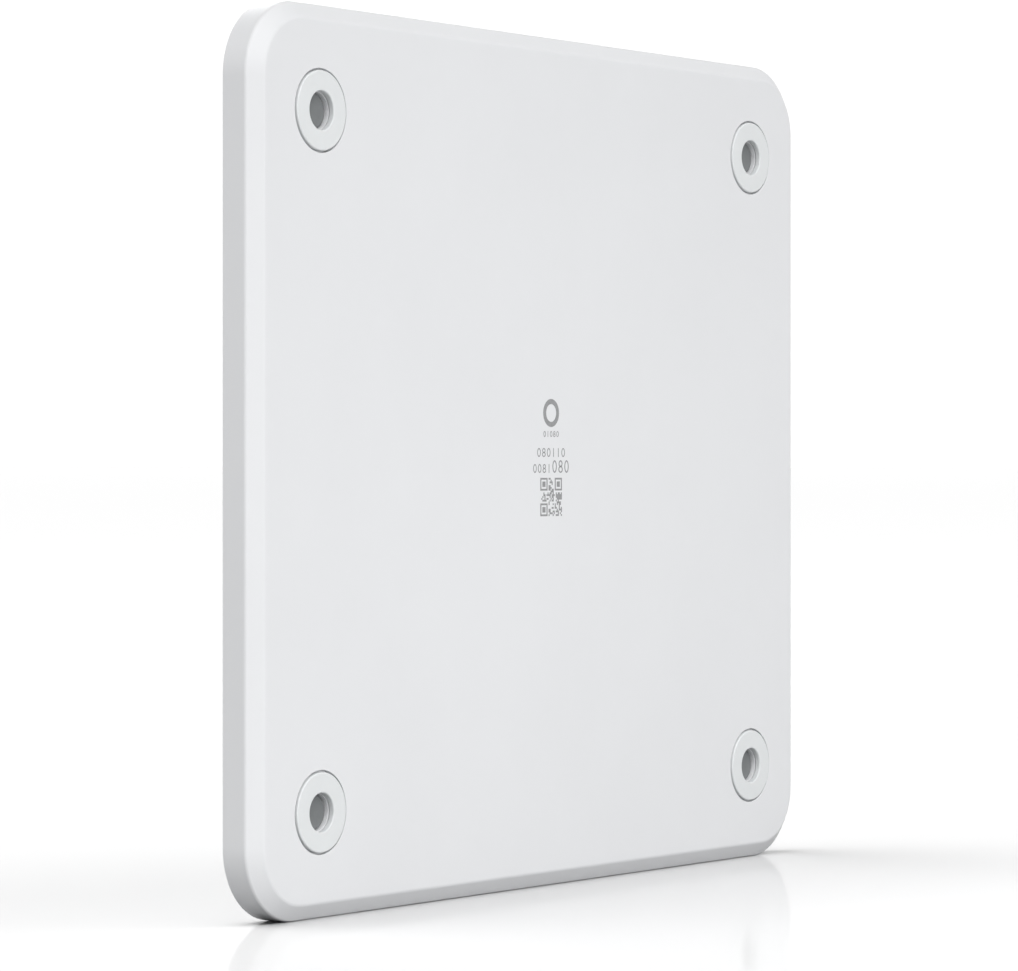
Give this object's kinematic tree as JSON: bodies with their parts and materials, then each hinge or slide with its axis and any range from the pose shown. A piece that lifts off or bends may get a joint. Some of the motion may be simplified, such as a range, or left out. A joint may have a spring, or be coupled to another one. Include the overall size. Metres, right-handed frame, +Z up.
{
  "type": "ceiling access point",
  "caption": "Slim rounded-rectangle wireless access point with a chamfered flat mounting face, corner pads with stepped holes, a low crowned room side and a side network socket.",
  "frame": {"origin": "middle of the flat rear mounting face", "axes": "+X across the width towards the network socket, +Y from the mounting face towards the room, +Z up the height as the object stands on its lower edge"},
  "size_m": [0.225, 0.0166, 0.2],
  "materials": {
    "shell_white": "fine satin texture",
    "cover_white": "fine satin texture, lets radio waves through",
    "pad_white": "matte pale elastomer",
    "plug_grey": "matte dark grey",
    "bezel_grey": "matte light grey",
    "button_grey": "matte mid grey",
    "screw_steel": "zinc plated",
    "sheet_metal": "bright tinned sheet",
    "aluminium": "plain rolled sheet",
    "board_green": "solder resist over glass fibre",
    "chip_black": "moulded epoxy",
    "ferrite_grey": "pressed ferrite",
    "thermal_grey": "soft silicone pad",
    "socket_black": "moulded plastic",
    "contact_gold": "gold plated",
    "lead_black": "thin jacket",
    "light_clear": "clear moulded light guide"
  },
  "bodies": {
    "casing": {"antenna_lead_left_bottom": "lead_black", "antenna_lead_left_top": "lead_black", "antenna_lead_right_bottom": "lead_black", "antenna_lead_right_top": "lead_black", "antenna_left_bottom": "sheet_metal", "antenna_left_top": "sheet_metal", "antenna_right_bottom": "sheet_metal", "antenna_right_top": "sheet_metal", "board_screw_1": "screw_steel", "board_screw_2": "screw_steel", "board_screw_3": "screw_steel", "board_screw_4": "screw_steel", "bulk_capacitor": "sheet_metal", "case_screw_left_bottom": "screw_steel", "case_screw_left_top": "screw_steel", "case_screw_right_bottom": "screw_steel", "case_screw_right_top": "screw_steel", "chip_processor": "chip_black", "chip_radio_high": "chip_black", "chip_radio_low": "chip_black", "flash_chip": "chip_black", "front_cover": "cover_white", "heat_spreader": "aluminium", "jack_body": "socket_black", "jack_contacts": "contact_gold", "jack_shield": "sheet_metal", "lan_transformer": "chip_black", "lead_plug_left_bottom": "contact_gold", "lead_plug_left_top": "contact_gold", "lead_plug_right_bottom": "contact_gold", "lead_plug_right_top": "contact_gold", "light_pipe": "light_clear", "main_board": "board_green", "memory_chip": "chip_black", "pad_ring_left_bottom": "pad_white", "pad_ring_left_top": "pad_white", "pad_ring_right_bottom": "pad_white", "pad_ring_right_top": "pad_white", "poe_transformer": "chip_black", "port_bezel": "bezel_grey", "power_inductor": "ferrite_grey", "rear_shell": "shell_white", "reset_switch": "chip_black", "screw_plug_left_bottom": "plug_grey", "screw_plug_left_top": "plug_grey", "screw_plug_right_bottom": "plug_grey", "screw_plug_right_top": "plug_grey", "shield_can_processor": "sheet_metal", "shield_can_radio_high": "sheet_metal", "shield_can_radio_low": "sheet_metal", "status_led": "light_clear", "thermal_pad_processor": "thermal_grey", "thermal_pad_radio_high": "thermal_grey", "thermal_pad_radio_low": "thermal_grey"},
    "reset": {"reset_button": "button_grey"}
  },
  "joints": [
    {"name": "reset_press", "type": "slide", "parent": "casing", "child": "reset", "axis": [-1, 0, 0], "range_m": [0, 0.0005], "stiffness_N_per_m": 2000, "springref_m": -0.0002}
  ]
}
